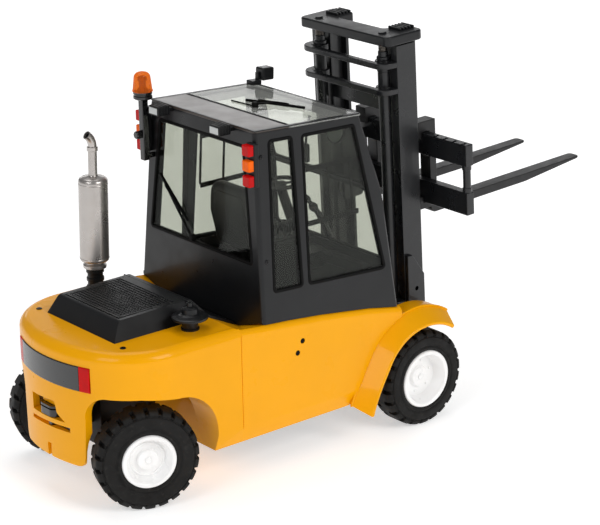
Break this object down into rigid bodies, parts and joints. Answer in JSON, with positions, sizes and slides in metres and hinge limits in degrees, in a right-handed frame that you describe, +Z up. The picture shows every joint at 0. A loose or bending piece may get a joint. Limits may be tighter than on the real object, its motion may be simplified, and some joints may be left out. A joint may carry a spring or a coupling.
{
  "type": "toy forklift",
  "caption": "Toy counterbalance forklift with a closed cab, a tilting two-stage mast, a lifting carriage with sliding forks, steered rear wheels and rolling front wheels.",
  "frame": {"origin": "on the ground, midway along the overall length and width", "axes": "+X forward towards the fork tips, +Y to the driver's left, +Z up"},
  "size_m": [0.2246, 0.0806, 0.1348],
  "materials": {
    "body_yellow": "gloss",
    "anthracite_paint": "satin",
    "roof_grey": "gloss",
    "black_metal": "satin",
    "black_plastic": "satin",
    "seat_black": "matte",
    "window_clear": "gloss",
    "seal_black": "matte",
    "rim_white": "gloss",
    "tyre_black": "matte",
    "muffler_silver": "satin",
    "bright_steel": "satin",
    "lens_red": "gloss",
    "lens_amber": "gloss",
    "lens_white": "gloss"
  },
  "bodies": {
    "chassis": {"chassis_body": "body_yellow", "counterweight": "body_yellow", "engine_hood": "anthracite_paint", "cab_shell": "anthracite_paint", "rear_panel": "anthracite_paint", "roof_panel": "roof_grey", "underframe": "black_metal", "front_axle": "black_metal", "steer_axle": "black_metal", "tow_coupling": "black_metal", "hood_grille": "black_plastic", "cab_floor": "black_plastic", "seat_base": "black_plastic", "steering_column": "black_plastic", "steering_wheel": "black_plastic", "control_console": "black_plastic", "control_levers": "black_plastic", "work_lights": "black_plastic", "lamp_brackets": "black_plastic", "beacon_post": "black_plastic", "roof_camera": "black_plastic", "roof_wiper": "black_plastic", "rear_wiper": "black_plastic", "exhaust_base": "black_plastic", "air_cleaner": "black_plastic", "seat_cushion": "seat_black", "seat_back": "seat_black", "roof_glass": "window_clear", "windscreens": "window_clear", "rear_window": "window_clear", "side_windows": "window_clear", "window_gaskets": "seal_black", "exhaust_muffler": "muffler_silver", "body_screws": "bright_steel", "red_lamps": "lens_red", "rear_reflectors": "lens_red", "amber_lamps": "lens_amber", "beacon_lens": "lens_amber", "work_light_lenses": "lens_white"},
    "front_wheel_left": {"rim_front_left": "rim_white", "tyre_front_left": "tyre_black"},
    "front_wheel_right": {"rim_front_right": "rim_white", "tyre_front_right": "tyre_black"},
    "knuckle_left": {"knuckle_left": "black_metal"},
    "knuckle_right": {"knuckle_right": "black_metal"},
    "rear_wheel_left": {"rim_rear_left": "rim_white", "tyre_rear_left": "tyre_black"},
    "rear_wheel_right": {"rim_rear_right": "rim_white", "tyre_rear_right": "tyre_black"},
    "mast": {"outer_mast": "anthracite_paint", "lift_cylinders": "anthracite_paint"},
    "inner_mast": {"inner_mast": "anthracite_paint", "crosshead": "anthracite_paint", "lift_rods": "bright_steel"},
    "carriage": {"carriage": "anthracite_paint", "carriage_rollers": "bright_steel"},
    "fork_left": {"fork_left": "anthracite_paint"},
    "fork_right": {"fork_right": "anthracite_paint"},
    "tilt_barrels": {"tilt_barrels": "anthracite_paint"},
    "tilt_rods": {"tilt_rods": "bright_steel"}
  },
  "joints": [
    {"name": "front_wheel_left_spin", "type": "hinge", "parent": "chassis", "child": "front_wheel_left", "pos_m": [0.01564, 0.034, 0.0168], "axis": [0, 1, 0], "continuous": true},
    {"name": "front_wheel_right_spin", "type": "hinge", "parent": "chassis", "child": "front_wheel_right", "pos_m": [0.01564, -0.034, 0.0168], "axis": [0, 1, 0], "continuous": true},
    {"name": "steer_left", "type": "hinge", "parent": "chassis", "child": "knuckle_left", "pos_m": [-0.09156, 0.0215, 0.0168], "axis": [0, 0, 1], "range_deg": [-12, 52]},
    {"name": "steer_right", "type": "hinge", "parent": "chassis", "child": "knuckle_right", "pos_m": [-0.09156, -0.0215, 0.0168], "axis": [0, 0, 1], "range_deg": [-12, 52]},
    {"name": "rear_wheel_left_spin", "type": "hinge", "parent": "knuckle_left", "child": "rear_wheel_left", "pos_m": [-0.09156, 0.0215, 0.0168], "axis": [0.342, 0.9397, 0], "continuous": true},
    {"name": "rear_wheel_right_spin", "type": "hinge", "parent": "knuckle_right", "child": "rear_wheel_right", "pos_m": [-0.09156, -0.0215, 0.0168], "axis": [0.342, 0.9397, 0], "continuous": true},
    {"name": "mast_tilt", "type": "hinge", "parent": "chassis", "child": "mast", "pos_m": [0.01564, 0, 0.0168], "axis": [0, 1, 0], "range_deg": [-5.9, 8.6]},
    {"name": "mast_lift", "type": "slide", "parent": "mast", "child": "inner_mast", "axis": [-0.0454, 0, 0.999], "range_m": [0, 0.078]},
    {"name": "carriage_lift", "type": "slide", "parent": "inner_mast", "child": "carriage", "axis": [-0.0454, 0, 0.999], "range_m": [-0.062, 0.03]},
    {"name": "fork_left_shift", "type": "slide", "parent": "carriage", "child": "fork_left", "axis": [0, 1, 0], "range_m": [-0.009, 0.02]},
    {"name": "fork_right_shift", "type": "slide", "parent": "carriage", "child": "fork_right", "axis": [0, -1, 0], "range_m": [-0.009, 0.02]},
    {"name": "tilt_barrel_swing", "type": "hinge", "parent": "chassis", "child": "tilt_barrels", "pos_m": [-0.02036, 0, 0.028], "axis": [0, 1, 0], "range_deg": [-0.8, 1.1]},
    {"name": "tilt_rod_slide", "type": "slide", "parent": "tilt_barrels", "child": "tilt_rods", "axis": [0.9572, 0, 0.2893], "range_m": [-0.0024, 0.0034]}
  ],
  "couplings": [
    {"joint": "steer_right", "follows": "steer_left", "ratio": 1},
    {"joint": "tilt_barrel_swing", "follows": "mast_tilt", "ratio": 0.1169},
    {"joint": "tilt_rod_slide", "follows": "mast_tilt", "m_per_rad": 0.02103}
  ]
}
